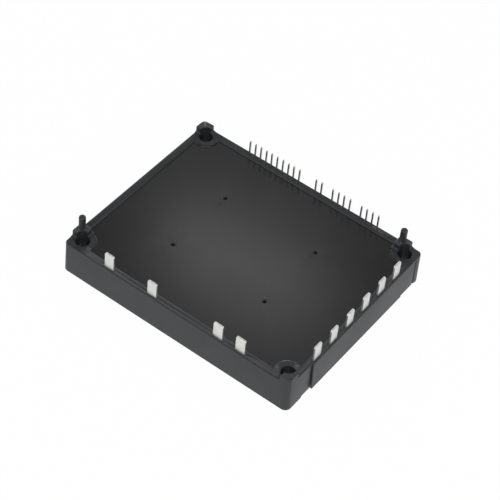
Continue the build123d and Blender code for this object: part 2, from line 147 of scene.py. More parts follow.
class TerminalShape(bpy.types.PropertyGroup):
    bend: FloatProperty(
        name="Bend radius", description="Outer radius of the bend under the cover",
        default=1.2 * MM, min=0.0, unit="LENGTH")
    corner: FloatProperty(
        name="Tip corners", description="Radius of the blade's two top corners",
        default=0.75 * MM, min=0.0, unit="LENGTH")
    edge: FloatProperty(
        name="Edge radius", description="Radius left along the blade's long edges by the plating",
        default=0.14 * MM, min=0.0, unit="LENGTH")
    tin: FloatVectorProperty(
        name="Tin colour", description="Colour of the matt tin plating",
        default=(0.86, 0.86, 0.84), size=3, subtype="COLOR")


class PinShape(bpy.types.PropertyGroup):
    bend: FloatProperty(
        name="Bend radius", description="Outer radius of the bend under the cover",
        default=0.8 * MM, min=0.0, unit="LENGTH")
    edge: FloatProperty(
        name="Edge radius", description="Radius of the pin's long edges",
        default=0.09 * MM, min=0.0, unit="LENGTH")
    point: FloatProperty(
        name="Point length", description="Length of the tapered tip",
        default=0.5 * MM, min=0.0, unit="LENGTH")
    lean: FloatProperty(
        name="Lean", description="Largest sideways shift of a tip, as left by handling",
        default=0.16 * MM, min=0.0, unit="LENGTH")
    metal: FloatVectorProperty(
        name="Pin colour", description="Colour of the dull plating on the pins",
        default=(0.64, 0.62, 0.60), size=3, subtype="COLOR")


class PlasticFinish(bpy.types.PropertyGroup):
    frame_dark: FloatVectorProperty(
        name="Frame colour", description="Darker tone of the moulded frame",
        default=(0.026, 0.0275, 0.032), size=3, subtype="COLOR")
    frame_light: FloatVectorProperty(
        name="Frame light tone", description="Lighter tone of the moulded frame",
        default=(0.034, 0.036, 0.041), size=3, subtype="COLOR")
    cover_dark: FloatVectorProperty(
        name="Cover colour", description="Darker tone of the cover",
        default=(0.0130, 0.0132, 0.0132), size=3, subtype="COLOR")
    cover_light: FloatVectorProperty(
        name="Cover light tone", description="Lighter tone of the cover",
        default=(0.0160, 0.0163, 0.0163), size=3, subtype="COLOR")
    grain: FloatProperty(
        name="Grain", description="Size of one grain of the mould's spark-eroded texture",
        default=0.12 * MM, min=0.01 * MM, unit="LENGTH")
    corner: FloatProperty(
        name="Upright corners", description="Radius of the frame's four upright corners",
        default=2.4 * MM, min=1.0 * MM, unit="LENGTH")
    collar: FloatProperty(
        name="Collar edge", description="Width of the rounded edge where a corner column meets the cover",
        default=0.9 * MM, min=0.5 * MM, max=1.2 * MM, unit="LENGTH")


class StageSettings(bpy.types.PropertyGroup):
    focal_pixels: FloatProperty(
        name="Focal length in pixels", description="Focal length of the photograph, in its own pixels",
        default=1764.0, min=1.0)
    camera_place: FloatVectorProperty(
        name="Camera place", description="Place of the camera in the module's frame",
        default=(231.4 * MM, -358.8 * MM, 478.2 * MM), size=3, unit="LENGTH", subtype="TRANSLATION")
    azimuth: FloatProperty(
        name="Azimuth", description="Direction of the view round the module",
        default=radians(32.55), subtype="ANGLE", unit="ROTATION")
    elevation: FloatProperty(
        name="Elevation", description="Height of the view above the floor",
        default=radians(47.47), subtype="ANGLE", unit="ROTATION")
    roll: FloatProperty(
        name="Roll", description="Turn of the camera about its own line of sight",
        default=radians(6.26), subtype="ANGLE", unit="ROTATION")
    world_strength: FloatProperty(
        name="Room light", description="Strength of the even light from the room",
        default=0.30, min=0.0)
    ceiling: FloatProperty(
        name="Ceiling", description="Level of the dim ceiling in reflections",
        default=0.24, min=0.0)


def settings():
    """The scene's settings for this module."""
    return bpy.context.scene.power_module


# Shader helpers

class Net:
    """A small writer for node trees: adds nodes, sets their inputs and links them."""

    def __init__(self, tree):
        self.tree = tree
        self.column = 0

    def add(self, kind, values=None, **attributes):
        """A new node, to the right of the last one."""
        node = self.tree.nodes.new(kind)
        self.column += 1
        node.location = (self.column * 180, 0)
        for name, value in attributes.items():
            setattr(node, name, value)
        for name, value in (values or {}).items():
            self.feed(node.inputs[name], value)
        return node

    def feed(self, target, value):
        """Links a node's output to an input, or writes a plain value into it."""
        if isinstance(value, bpy.types.NodeSocket):
            self.tree.links.new(value, target)
        elif hasattr(target.default_value, "__len__") and len(target.default_value) == 4 and len(value) == 3:
            target.default_value = (*value, 1.0)
        else:
            target.default_value = value

    def math(self, operation, first, second):
        """One number worked out from two."""
        return self.add("ShaderNodeMath", {0: first, 1: second}, operation=operation).outputs[0]

    def mix(self, factor, first, second):
        """One colour that turns from the first to the second as the factor goes from 0 to 1."""
        node = self.add("ShaderNodeMix", data_type="RGBA", clamp_factor=True)
        self.feed(node.inputs[0], factor)
        self.feed(node.inputs[6], first)
        self.feed(node.inputs[7], second)
        return node.outputs[2]

    def blend(self, factor, first, second):
        """One number that turns from the first to the second as the factor goes from 0 to 1."""
        node = self.add("ShaderNodeMix", data_type="FLOAT", clamp_factor=True)
        self.feed(node.inputs[0], factor)
        self.feed(node.inputs[2], first)
        self.feed(node.inputs[3], second)
        return node.outputs[0]

    def ramp(self, value, low, high, out_low=0.0, out_high=1.0):
        """One number that goes straight from out_low to out_high as the value goes from low to high."""
        node = self.add("ShaderNodeMapRange", {
            "Value": value, "From Min": low, "From Max": high, "To Min": out_low, "To Max": out_high})
        node.clamp = True
        return node.outputs[0]

    def noise(self, vector, scale, detail=2.0, roughness=0.5):
        """Cloudy noise between 0 and 1."""
        node = self.add("ShaderNodeTexNoise", {
            "Vector": vector, "Scale": scale, "Detail": detail, "Roughness": roughness})
        return node.outputs[0]

    def split(self, vector):
        """The node that parts a vector into its X, Y and Z."""
        return self.add("ShaderNodeSeparateXYZ", {0: vector})

    def surface_normal(self):
        """The true normal of the surface."""
        return self.add("ShaderNodeNewGeometry").outputs["Normal"]


def new_group(name, inputs, outputs):
    """An empty shader node group with named sockets. Each input is (name, kind, default)."""
    group = bpy.data.node_groups.new(name, "ShaderNodeTree")
    for title, kind, default in inputs:
        made = group.interface.new_socket(name=title, in_out="INPUT", socket_type=kind)
        if default is not None:
            made.default_value = default
    for title, kind in outputs:
        group.interface.new_socket(name=title, in_out="OUTPUT", socket_type=kind)
    net = Net(group)
    return group, net, net.add("NodeGroupInput").outputs, net.add("NodeGroupOutput").inputs


def grain_group():
    """Spark-eroded mould texture: fine noise laid over small round cells, as a height from 0 to 1."""
    group, net, given, leave = new_group(
        "Mould Grain",
        [("Vector", "NodeSocketVector", None), ("Scale", "NodeSocketFloat", 8000.0)],
        [("Height", "NodeSocketFloat"), ("Patches", "NodeSocketFloat")])
    vector, scale = given["Vector"], given["Scale"]
    cells = net.add("ShaderNodeTexVoronoi", {"Vector": vector, "Scale": scale}, feature="SMOOTH_F1")
    fine = net.noise(vector, net.math("MULTIPLY", scale, 0.6), detail=4.0, roughness=0.6)
    net.feed(leave["Height"], net.blend(0.5, cells.outputs["Distance"], fine))
    net.feed(leave["Patches"], net.noise(vector, scale=60.0, detail=3.0, roughness=0.55))
    return group


def wear_group():
    """Edge mask: where a rounded normal departs from the true one the surface turns, so it is worn."""
    group, net, given, leave = new_group(
        "Edge Wear",
        [("Vector", "NodeSocketVector", None), ("Radius", "NodeSocketFloat", 0.4 * MM),
         ("Breakup", "NodeSocketFloat", 0.5)],
        [("Mask", "NodeSocketFloat"), ("Normal", "NodeSocketVector")])
    rounded = net.add("ShaderNodeBevel", {"Radius": given["Radius"]}, samples=6).outputs[0]
    alike = net.add("ShaderNodeVectorMath", {0: rounded, 1: net.surface_normal()}, operation="DOT_PRODUCT")
    turned = net.ramp(alike.outputs["Value"], 0.995, 0.80)
    broken = net.ramp(net.noise(given["Vector"], scale=900.0, detail=4.0, roughness=0.65), 0.30, 0.62)
    weight = net.blend(given["Breakup"], 1.0, broken)
    net.feed(leave["Mask"], net.math("MULTIPLY", turned, weight))
    net.feed(leave["Normal"], rounded)
    return group


def dust_group():
    """Loose specks that settle on faces turned upwards, as a mask."""
    group, net, given, leave = new_group(
        "Settled Dust",
        [("Vector", "NodeSocketVector", None), ("Amount", "NodeSocketFloat", 0.5)],
        [("Mask", "NodeSocketFloat")])
    vector = given["Vector"]
    specks = net.add("ShaderNodeTexVoronoi", {"Vector": vector, "Scale": 900.0, "Randomness": 1.0})
    dots = net.ramp(specks.outputs["Distance"], 0.10, 0.04)
    chosen = net.ramp(net.noise(vector, scale=420.0), 0.60, 0.66)
    lying = net.ramp(net.split(net.surface_normal()).outputs["Z"], 0.5, 0.9)
    mask = net.math("MULTIPLY", net.math("MULTIPLY", dots, chosen), lying)
    net.feed(leave["Mask"], net.math("MULTIPLY", mask, given["Amount"]))
    return group


GROUP_MAKERS = {"Mould Grain": grain_group, "Edge Wear": wear_group, "Settled Dust": dust_group}


def group_node(net, name, values):
    """Places one of the shared groups in a material, building it the first time."""
    node = net.add("ShaderNodeGroup")
    node.node_tree = bpy.data.node_groups.get(name) or GROUP_MAKERS[name]()
    for title, value in values.items():
        net.feed(node.inputs[title], value)
    return node


def new_material(name):
    """An empty material, with its net, its Principled shader and its Object coordinates."""
    material = bpy.data.materials.new(name)
    material.use_nodes = True
    tree = material.node_tree
    tree.nodes.clear()
    net = Net(tree)
    place = net.add("ShaderNodeTexCoord").outputs["Object"]
    shader = net.add("ShaderNodeBsdfPrincipled")
    out = net.add("ShaderNodeOutputMaterial")
    net.tree.links.new(shader.outputs[0], out.inputs["Surface"])
    return material, net, shader, place


def add_bump(net, shader, height, strength, distance, normal=None):
    """Feeds a height to the shader's normal through a bump, over another normal where one is given."""
    bump = net.add("ShaderNodeBump", {"Strength": strength, "Distance": distance, "Height": height})
    if normal is not None:
        net.feed(bump.inputs["Normal"], normal)
    net.feed(shader.inputs["Normal"], bump.outputs[0])


def painted_seat_light(net, place, height):
    """Mask of the painted light on the raised seats' tops: at the seats' level, turned upwards and broken up
    by noise.
    """
    reached = net.ramp(height, SEAT_LEVEL - 0.4 * MM, SEAT_LEVEL - 0.05 * MM)
    passed = net.ramp(height, SEAT_LEVEL + 0.05 * MM, SEAT_LEVEL + 0.2 * MM)
    lying = net.ramp(net.split(net.surface_normal()).outputs["Z"], 0.3, 0.9)
    broken = net.ramp(net.noise(place, scale=800.0, detail=4.0, roughness=0.65), 0.25, 0.60, 0.5, 1.0)
    mask = net.math("MULTIPLY", net.math("SUBTRACT", reached, passed), lying)
    return net.math("MULTIPLY", mask, broken)


def plastic(name, dark, light, roughness, grain_height, bump_strength, pit_level=NO_PITS):
    """Moulded black plastic: two close tones in soft patches, fine grain, polished edges and dust.

    The tops of the raised seats are lightened, a painted highlight where light falls on them, and what
    lies deeper than pit_level has painted shade, dull and nearly black. roughness holds its lowest and
    highest.
    """
    material, net, shader, place = new_material(name)
    grain = group_node(net, "Mould Grain", {"Vector": place, "Scale": 1.0 / settings().plastic.grain})
    wear = group_node(net, "Edge Wear", {"Vector": place, "Radius": 0.10 * MM, "Breakup": 0.6})
    dust = group_node(net, "Settled Dust", {"Vector": place, "Amount": DUST_AMOUNT})
    worn = wear.outputs["Mask"]
    height = net.split(place).outputs["Z"]
    # painted light on the raised seats' tops
    seat_light = painted_seat_light(net, place, height)
    # painted shade deep in the dimples; the same mask also makes them dull
    pit_shade = net.ramp(height, pit_level - PIT_STARTS, pit_level - PIT_FULL)

    colour = net.mix(net.ramp(grain.outputs["Patches"], 0.32, 0.68), dark, light)
    colour = net.mix(net.math("MULTIPLY", worn, WORN_SHARE), colour, WORN_TONE)
    # painted highlight: the seats' tops are lightened
    colour = net.mix(net.math("MULTIPLY", seat_light, PAINTED_SEAT_LIGHT_SHARE), colour, PAINTED_SEAT_LIGHT_TONE)
    colour = net.mix(dust.outputs["Mask"], colour, DUST_TONE)
    # painted shade: the dimples' depths are darkened to nearly black
    net.feed(shader.inputs["Base Color"], net.mix(pit_shade, colour, PIT_SHADE_TONE))

    smear = net.noise(place, scale=35.0, detail=4.0, roughness=0.6)
    rough = net.ramp(smear, 0.3, 0.7, *roughness)
    rough = net.math("SUBTRACT", rough, net.math("MULTIPLY", worn, WORN_POLISH))
    net.feed(shader.inputs["Roughness"], net.blend(pit_shade, rough, 1.0))
    add_bump(net, shader, grain.outputs["Height"], bump_strength, grain_height, wear.outputs["Normal"])
    shader.inputs["IOR"].default_value = 1.5
    return material


def metal(name, colour, shade, roughness, streak=(1.0, 1.0, 1.0)):
    """Plated metal: its colour clouded with a second shade, with rolled streaks in roughness and height."""
    material, net, shader, place = new_material(name)
    clouds = net.noise(place, scale=700.0, detail=3.0, roughness=0.6)
    net.feed(shader.inputs["Base Color"], net.mix(net.ramp(clouds, 0.35, 0.70), colour, shade))
    stretched = net.add("ShaderNodeMapping", {"Vector": place, "Scale": streak})
    lines = net.noise(stretched.outputs[0], scale=2600.0, detail=4.0, roughness=0.6)
    net.feed(shader.inputs["Roughness"], net.ramp(lines, 0.3, 0.7, *roughness))
    wear = group_node(net, "Edge Wear", {"Vector": place, "Radius": 0.10 * MM, "Breakup": 0.3})
    add_bump(net, shader, lines, strength=0.4, distance=FINE_BUMP, normal=wear.outputs["Normal"])
    shader.inputs["Metallic"].default_value = 1.0
    return material


def inner_stuff(name, colour, shade, rough, metallic=0.0):
    """Plain stuff of a hidden piece: two tones in fine clouds and a slight unevenness."""
    material, net, shader, place = new_material(name)
    clouds = net.noise(place, scale=900.0, detail=4.0, roughness=0.6)
    net.feed(shader.inputs["Base Color"], net.mix(net.ramp(clouds, 0.35, 0.65), colour, shade))
    spread = net.ramp(clouds, 0.3, 0.7, rough - ROUGH_SPREAD, rough + ROUGH_SPREAD)
    net.feed(shader.inputs["Roughness"], spread)
    add_bump(net, shader, clouds, strength=0.3, distance=FINE_BUMP)
    shader.inputs["Metallic"].default_value = metallic
    return material


def gel_stuff(name):
    """Clear soft gel: transmissive, with faint clouds in its surface."""
    material, net, shader, place = new_material(name)
    clouds = net.noise(place, scale=120.0, detail=3.0)
    net.feed(shader.inputs["Roughness"], net.ramp(clouds, 0.3, 0.7, 0.06, 0.14))
    shader.inputs["Base Color"].default_value = (0.90, 0.92, 0.92, 1.0)
    shader.inputs["Transmission Weight"].default_value = 0.8
    shader.inputs["IOR"].default_value = 1.41
    return material


def make_materials():
    """One finish for each material slot of the record."""
    finish = settings().plastic
    return {
        "black_frame": plastic(
            "frame_plastic", finish.frame_dark, finish.frame_light,
            roughness=(0.38, 0.48), grain_height=0.02 * MM, bump_strength=0.5),
        "black_cover": plastic(
            "cover_plastic", finish.cover_dark, finish.cover_light,
            roughness=(0.18, 0.21), grain_height=0.006 * MM, bump_strength=0.1, pit_level=COVER_LEVEL),
        "nickel_plate": metal(
            "nickel_plate", (0.66, 0.64, 0.60), (0.60, 0.58, 0.55),
            roughness=(0.24, 0.36), streak=(0.08, 1, 1)),
        "tinned_terminal": metal(
            "matt_tin", settings().terminal.tin, (0.78, 0.78, 0.76),
            roughness=(0.42, 0.55)),
        "pin_metal": metal(
            "dull_pin", settings().pin.metal, (0.50, 0.48, 0.46),
            roughness=(0.28, 0.42), streak=(1, 1, 0.1)),
        "copper": inner_stuff(
            "bare_copper", (0.80, 0.45, 0.28), (0.68, 0.34, 0.20), rough=0.35, metallic=1.0),
        "white_ceramic": inner_stuff(
            "fired_ceramic", (0.88, 0.88, 0.85), (0.82, 0.82, 0.79), rough=0.55),
        "solder": inner_stuff(
            "dull_solder", (0.70, 0.70, 0.70), (0.55, 0.55, 0.56), rough=0.45, metallic=1.0),
        "silicon": inner_stuff(
            "chip_metal", (0.62, 0.63, 0.66), (0.50, 0.51, 0.55), rough=0.35, metallic=1.0),
        "sensor_ceramic": inner_stuff(
            "small_part_ceramic", (0.55, 0.42, 0.30), (0.46, 0.34, 0.24), rough=0.5),
        "bond_aluminium": inner_stuff(
            "bond_wire", (0.85, 0.85, 0.86), (0.75, 0.75, 0.77), rough=0.3, metallic=1.0),
        "board": inner_stuff(
            "green_board", (0.05, 0.22, 0.10), (0.04, 0.17, 0.08), rough=0.4),
        "adhesive": inner_stuff(
            "cured_silicone", (0.75, 0.75, 0.72), (0.68, 0.68, 0.65), rough=0.6),
        "circuit_plastic": inner_stuff(
            "circuit_package", (0.04, 0.04, 0.04), (0.03, 0.03, 0.03), rough=0.6),
        "gel": gel_stuff("clear_gel"),
    }


def finish_of(slot):
    """The material of a slot, made on first use with all the others."""
    name = f"slot_{slot}"
    if name not in bpy.data.materials:
        for title, material in make_materials().items():
            material.name = f"slot_{title}"
    return bpy.data.materials[name]


# Mesh helpers

def mesh_object(name, points, faces, material, smooth=True):
    """A mesh object at the origin from an array of points and a list of faces."""
    mesh = bpy.data.meshes.new(name)
    mesh.from_pydata(points.reshape(-1, 3).tolist(), [], faces)
    mesh.validate()
    mesh.polygons.foreach_set("use_smooth", np.full(len(mesh.polygons), smooth))
    mesh.materials.append(material)
    mesh.update()
    made = bpy.data.objects.new(name, mesh)
    bpy.context.scene.collection.objects.link(made)
    return made


def tube_faces(rings, around):
    """Quads between closed rings of points, and a fan at each end about the two last points."""
    ring = np.arange(rings - 1)[:, None] * around
    step = np.arange(around)[None, :]
    after = (step + 1) % around
    quads = np.stack([ring + step, ring + after, ring + around + after, ring + around + step], axis=-1)
    faces = quads.reshape(-1, 4).tolist()
    first_pole = rings * around
    last = (rings - 1) * around
    turn = np.arange(around)
    onward = (turn + 1) % around
    faces += np.stack([onward, turn, np.full(around, first_pole)], axis=-1).tolist()
    faces += np.stack([last + turn, last + onward, np.full(around, first_pole + 1)], axis=-1).tolist()
    return faces


def tube_object(name, rings, material):
    """A closed tube through an array of rings, each end drawn together in a pole at its ring's middle."""
    poles = np.stack([rings[0].mean(axis=0), rings[-1].mean(axis=0)])
    cloud = np.concatenate([rings.reshape(-1, 3), poles])
    return mesh_object(name, cloud, tube_faces(*rings.shape[:2]), material)


def dress(piece, node):
    """A finished piece rides with the module, and the CAD node it stands for is hidden."""
    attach(piece, "root")
    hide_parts(node)


def strip_path(foot_length, height, thickness, bend, tip_length):
    """The middle line of a strip bent to an L: depth, height and turn, and the length left to the tip.

    It runs along the foot, round a quarter circle and up to the tip, where its points draw closer
    together as a cosine does. Up to the end of the bend the whole height counts as left.
    """
    centre_radius = bend - thickness / 2
    foot = np.linspace(foot_length, bend, FOOT_RINGS)
    angle = np.linspace(0, np.pi / 2, BEND_RINGS)[1:]
    rise = np.linspace(bend, height - tip_length, RISE_RINGS)[1:]
    tip = height - tip_length * np.cos(np.linspace(0, np.pi / 2, TIP_RINGS)[1:])
    upright = len(rise) + len(tip)
    along = np.concatenate([foot, bend - centre_radius * np.sin(angle), np.full(upright, thickness / 2)])
    above = np.concatenate([np.full(len(foot), thickness / 2),
                            bend - centre_radius * np.cos(angle), rise, tip])
    turn = np.concatenate([np.zeros(len(foot)), angle, np.full(upright, np.pi / 2)])
    left = np.clip(height - above, 0, None)
    left[: len(foot) + len(angle)] = height
    return along, above, turn, left


def strip_halves(left, width, thickness, corner, edge, taper):
    """Half the width and half the thickness of a strip, by the length left to its tip.

    With a taper both shrink straight to the tip's share of them. Without one the width shrinks as a
    quarter circle of the corner radius does, and the thickness as one of the edge radius.
    """
    if taper > 0:
        share = TIP_SHARE + (1 - TIP_SHARE) * np.clip(left / taper, 0, 1)
        return share * width / 2, share * thickness / 2
    short = np.clip(corner - left, 0, corner)
    near = np.clip(edge - left, 0, edge)
    half_width = width / 2 + np.sqrt(corner ** 2 - short ** 2) - corner
    half_thick = thickness / 2 + np.sqrt(edge ** 2 - near ** 2) - edge
    return half_width, half_thick


def rounded_rings(half_width, half_thick, edge):
    """Rectangles with rounded corners, one for each pair of halves: offsets across and through."""
    radius = np.minimum(edge, np.minimum(half_width, half_thick) * ROUND_SHARE)[:, None]
    quarter = np.linspace(0, np.pi / 2, CORNER_POINTS)
    theta = np.concatenate([quarter + k * np.pi / 2 for k in range(4)])
    side_across = np.repeat([1, -1, -1, 1], len(quarter))
    side_through = np.repeat([1, 1, -1, -1], len(quarter))
    across = side_across * (half_width[:, None] - radius) + radius * np.cos(theta)
    through = side_through * (half_thick[:, None] - radius) + radius * np.sin(theta)
    return across, through


def bent_strip(node, inward, thickness, bend, corner, edge, taper, lean):
    """A strip bent to an L, as a rounded rectangle carried along a path through the node's box.

    The lean, sideways and inwards, grows with the square of the height above the bend.
    """
    low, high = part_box(node)
    inward = Vector(inward)
    upward = Vector((0, 0, 1))
    sideways = inward.cross(upward)
    extent = high - low
    foot_length = abs(extent.dot(inward))
    width = abs(extent.dot(sideways))
    start = (low + high) / 2 - inward * foot_length / 2
    start.z = low.z
    along, above, turn, left = strip_path(foot_length, extent.z, thickness, bend, max(corner, taper))
    half_width, half_thick = strip_halves(left, width, thickness, corner, edge, taper)
    across, through = rounded_rings(half_width, half_thick, edge)
    height = above[:, None] + through * np.cos(turn)[:, None]
    depth = along[:, None] + through * np.sin(turn)[:, None]
    leaning = (np.clip(height - bend, 0, None) / (extent.z - bend)) ** 2
    across = across + lean[0] * leaning
    depth = depth + lean[1] * leaning
    points = (np.array(start) + depth[..., None] * np.array(inward) + across[..., None] * np.array(sideways)
              + height[..., None] * np.array(upward))
    piece = tube_object(f"{node}_piece", points, finish_of(SLOT_OF[node]))
    piece.data.set_sharp_from_angle(angle=STRIP_SHARP)
    dress(piece, node)


def merged_copy(node, name):
    """A copy of a CAD node's mesh with its doubled points merged."""
    mesh = bpy.data.meshes.new(name)
    work = bmesh.new()
    work.from_mesh(NODES[node].data)
    bmesh.ops.remove_doubles(work, verts=work.verts, dist=MERGE_DISTANCE)
    work.to_mesh(mesh)
    work.free()
    return mesh


def face_outwards(mesh):
    """Turns every face of a closed mesh outwards."""
    work = bmesh.new()
    work.from_mesh(mesh)
    bmesh.ops.recalc_face_normals(work, faces=work.faces)
    work.to_mesh(mesh)
    work.free()


def reshape(mesh, change):
    """Replaces a mesh's points by what a function of the whole array gives."""
    points = np.empty(len(mesh.vertices) * 3)
    mesh.vertices.foreach_get("co", points)
    mesh.vertices.foreach_set("co", change(points.reshape(-1, 3)).ravel())
    mesh.update()


def wider_corners(points, low, high, radius):
    """Gives the frame's upright corners a larger radius.

    A point of a corner's arc keeps its direction from the arc's centre and its depth below the arc.
    Its centre moves inwards along both walls to where the larger arc touches them. The walls lean in
    with the height by the draft angle, and one short wall is set back towards the front.
    """
    moved = points.copy()
    lean = np.tan(DRAFT) * np.clip(points[:, 2] - FOOT_LEVEL, 0, None)
    step_y = low.y + (high.y - low.y) * STEP_SHARE
    setback = np.where((points[:, 0] > 0) & ((points[:, 1] < step_y) | (points[:, 2] > RIM_LEVEL + SEAM)),
                       STEP_PROUD, 0.0)
    side = np.sign(points[:, :2])
    wall = np.stack([high.x - lean - setback, high.y - lean], axis=1)
    inside = wall - side * points[:, :2]
    from_centre = MOULD_CORNER - inside
    held = (from_centre >= -SEAM).all(axis=1)
    depth = MOULD_CORNER - np.linalg.norm(from_centre, axis=1)
    direction = from_centre / np.maximum(np.linalg.norm(from_centre, axis=1), SEAM)[:, None]
    held &= np.abs(depth) < MOULD_CORNER / 2
    new_inside = radius - (radius - depth)[:, None] * direction
    moved[held, :2] = (side * (wall - new_inside))[held]
    return moved


def spread_sides(mesh, top):
    """Moves a cover's sides outwards by the seam, so that they meet the frame, and squares their top.

    Each point's shift is the one that lies a seam's width beyond every upright face at that point,
    found from the sum of the faces' normals times themselves.
    """
    count, faces = len(mesh.vertices), len(mesh.polygons)
    points, normals, corners = np.empty(count * 3), np.empty(faces * 3), np.empty(faces * 3, dtype=int)
    mesh.vertices.foreach_get("co", points)
    mesh.polygons.foreach_get("normal", normals)
    mesh.loops.foreach_get("vertex_index", corners)
    points, normals, corners = points.reshape(-1, 3), normals.reshape(-1, 3), corners.reshape(-1, 3)
    upright = np.abs(normals[:, 2]) < UPRIGHT_BELOW
    flat = normals[upright, :2]
    products, sums = np.zeros((count, 2, 2)), np.zeros((count, 2))
    for corner in corners[upright].T:
        np.add.at(products, corner, flat[:, :, None] * flat[:, None, :])
        np.add.at(sums, corner, flat)
    reach = np.abs(points[:, :2]) / np.abs(points[:, :2]).max(axis=0)
    outer = (np.abs(sums).sum(axis=1) > 0) & (reach.max(axis=1) > OUTER_FROM)
    shift = np.linalg.solve(products + RIDGE * np.eye(2), (COVER_GAP * sums)[..., None])[..., 0]
    points[outer, :2] += shift[outer]
    points[outer & (points[:, 2] > top - COVER_EDGE), 2] = top
    mesh.vertices.foreach_set("co", points.ravel())
    mesh.update()


def tapered_dimples(points):
    """Narrows the cover's four dimples towards their bottoms.

    A point's distance from its dimple's centre shrinks with the square root of its depth below the
    cover's top, to little more than half at the bottom.
    """
    centre = np.sign(points[:, :2]) * DIMPLE_PLACE
    offset = points[:, :2] - centre
    near = np.linalg.norm(offset, axis=1) < DIMPLE_REACH
    share = np.clip((COVER_LEVEL - points[:, 2]) / DIMPLE_DEPTH, 0, 1)
    moved = points.copy()
    moved[near, :2] = (centre + offset * (1 - DIMPLE_TAPER * np.sqrt(share))[:, None])[near]
    return moved


def finish_moulding(mesh, node):
    """Turns a moulding's mesh into a piece that stands for its node, flat on its flats and smooth on arcs."""
    mesh.polygons.foreach_set("use_smooth", np.ones(len(mesh.polygons), dtype=bool))
    mesh.set_sharp_from_angle(angle=MOULDING_SHARP)
    mesh.materials.clear()
    mesh.materials.append(finish_of(SLOT_OF[node]))
    piece = bpy.data.objects.new(mesh.name, mesh)
    bpy.context.scene.collection.objects.link(piece)
    even = piece.modifiers.new("even_normals", "WEIGHTED_NORMAL")
    even.keep_sharp = True
    dress(piece, node)


def collar_edge(name, side, width):
    """The rounded edge round one corner column, where its top drops to the cover.

    A quarter of an ellipse starts level with the column's top, a little inside the column's radius,
    and ends upright just above the cover. It is closed below and inside the plastic, and swept round
    the column's axis over the part of the circle that faces the cover. side holds the signs of the
    column's x and y.
    """
    quarter = np.linspace(0, np.pi / 2, COLLAR_POINTS)
    inner = COLUMN_RADIUS - COLUMN_ROUND
    drop = RIM_LEVEL - COVER_LEVEL - COVER_GAP
    outward = np.concatenate([inner + width * np.sin(quarter), [inner + width, inner - SEAM, inner - SEAM]])
    above = np.concatenate([RIM_LEVEL - drop * (1 - np.cos(quarter)),
                            [COVER_LEVEL - SEAM, COVER_LEVEL - SEAM, RIM_LEVEL - SEAM]])
    turn = np.linspace(*COLUMN_TURN, COLLAR_RINGS)[:, None]
    middle = COLUMN_PLACE * side
    points = np.stack([middle[0] + side[0] * np.cos(turn) * outward,
                       middle[1] - side[1] * np.sin(turn) * outward,
                       np.broadcast_to(above, (len(turn), len(above)))], axis=-1)
    piece = tube_object(name, points, finish_of("black_cover"))
    face_outwards(piece.data)
    piece.data.set_sharp_from_angle(angle=STRIP_SHARP)
    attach(piece, "root")


def repaint(node):
    """Puts the slot's finish on a CAD node, whose shape stays as it is."""
    mesh = NODES[node].data
    mesh.materials.clear()
    mesh.materials.append(finish_of(SLOT_OF[node]))


# Operators, one for each piece or group of like pieces

class MODULE_OT_mouldings(bpy.types.Operator):
    """Build the moulded frame with its softened corners, and the cover that fits it closely"""
    bl_idname = "power_module.mouldings"
    bl_label = "Frame and cover"

    def execute(self, context):
        low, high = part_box("housing")
        frame_mesh = merged_copy("housing", "moulded_frame")
        reshape(frame_mesh, lambda points: wider_corners(points, low, high, settings().plastic.corner))
        finish_moulding(frame_mesh, "housing")
        cover_mesh = merged_copy("top_cover", "closed_cover")
        spread_sides(cover_mesh, COVER_LEVEL)
        reshape(cover_mesh, tapered_dimples)
        finish_moulding(cover_mesh, "top_cover")
        return {"FINISHED"}


class MODULE_OT_collars(bpy.types.Operator):
    """Build the rounded edges round the four corner columns"""
    bl_idname = "power_module.collars"
    bl_label = "Collar edges"

    def execute(self, context):
        sides = ((1, 1), (1, -1), (-1, 1), (-1, -1))
        for number, side in enumerate(sides, start=1):
            collar_edge(f"collar_edge_{number}", side, settings().plastic.collar)
        return {"FINISHED"}


class MODULE_OT_terminals(bpy.types.Operator):
    """Build the ten flat tinned terminals"""
    bl_idname = "power_module.terminals"
    bl_label = "Flat terminals"

    def execute(self, context):
        shape = settings().terminal
        wobble = np.random.default_rng(TERMINAL_SEED)
        for names, inward in ((FRONT_TERMINALS, (0, 1, 0)), (SIDE_TERMINALS, (-1, 0, 0))):
            for node in names:
                lean = (wobble.uniform(-1, 1) * TERMINAL_SIDEWAYS, wobble.uniform(0, 1) * TERMINAL_INWARDS)
                bent_strip(node, inward, TERMINAL_THICKNESS, shape.bend, shape.corner, shape.edge,
                           taper=0.0, lean=lean)
        return {"FINISHED"}


class MODULE_OT_pins(bpy.types.Operator):
    """Build the twenty thin control pins"""
    bl_idname = "power_module.pins"
    bl_label = "Control pins"

    def execute(self, context):
        shape = settings().pin
        wobble = np.random.default_rng(PIN_SEED)
        for node in CONTROL_PINS:
            low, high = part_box(node)
            lean = (wobble.uniform(-1, 1) * shape.lean, wobble.uniform(0, 1) * shape.lean)
            bent_strip(node, (0, -1, 0), high.x - low.x, shape.bend, corner=0.0, edge=shape.edge,
                       taper=shape.point, lean=lean)
        return {"FINISHED"}


class MODULE_OT_base_plate(bpy.types.Operator):
    """Give the base plate its nickel plating"""
    bl_idname = "power_module.base_plate"
    bl_label = "Base plate"

    def execute(self, context):
        repaint("base_plate")
        return {"FINISHED"}


class MODULE_OT_inner_pieces(bpy.types.Operator):
    """Give every hidden piece inside the module its finish"""
    bl_idname = "power_module.inner_pieces"
    bl_label = "Inner pieces"

    def execute(self, context):
        done = {"housing", "top_cover", "base_plate", *FRONT_TERMINALS, *SIDE_TERMINALS, *CONTROL_PINS}
        for node in sorted(set(NODES) - done):
            repaint(node)
        return {"FINISHED"}


# The stage: lights, floor, room and camera

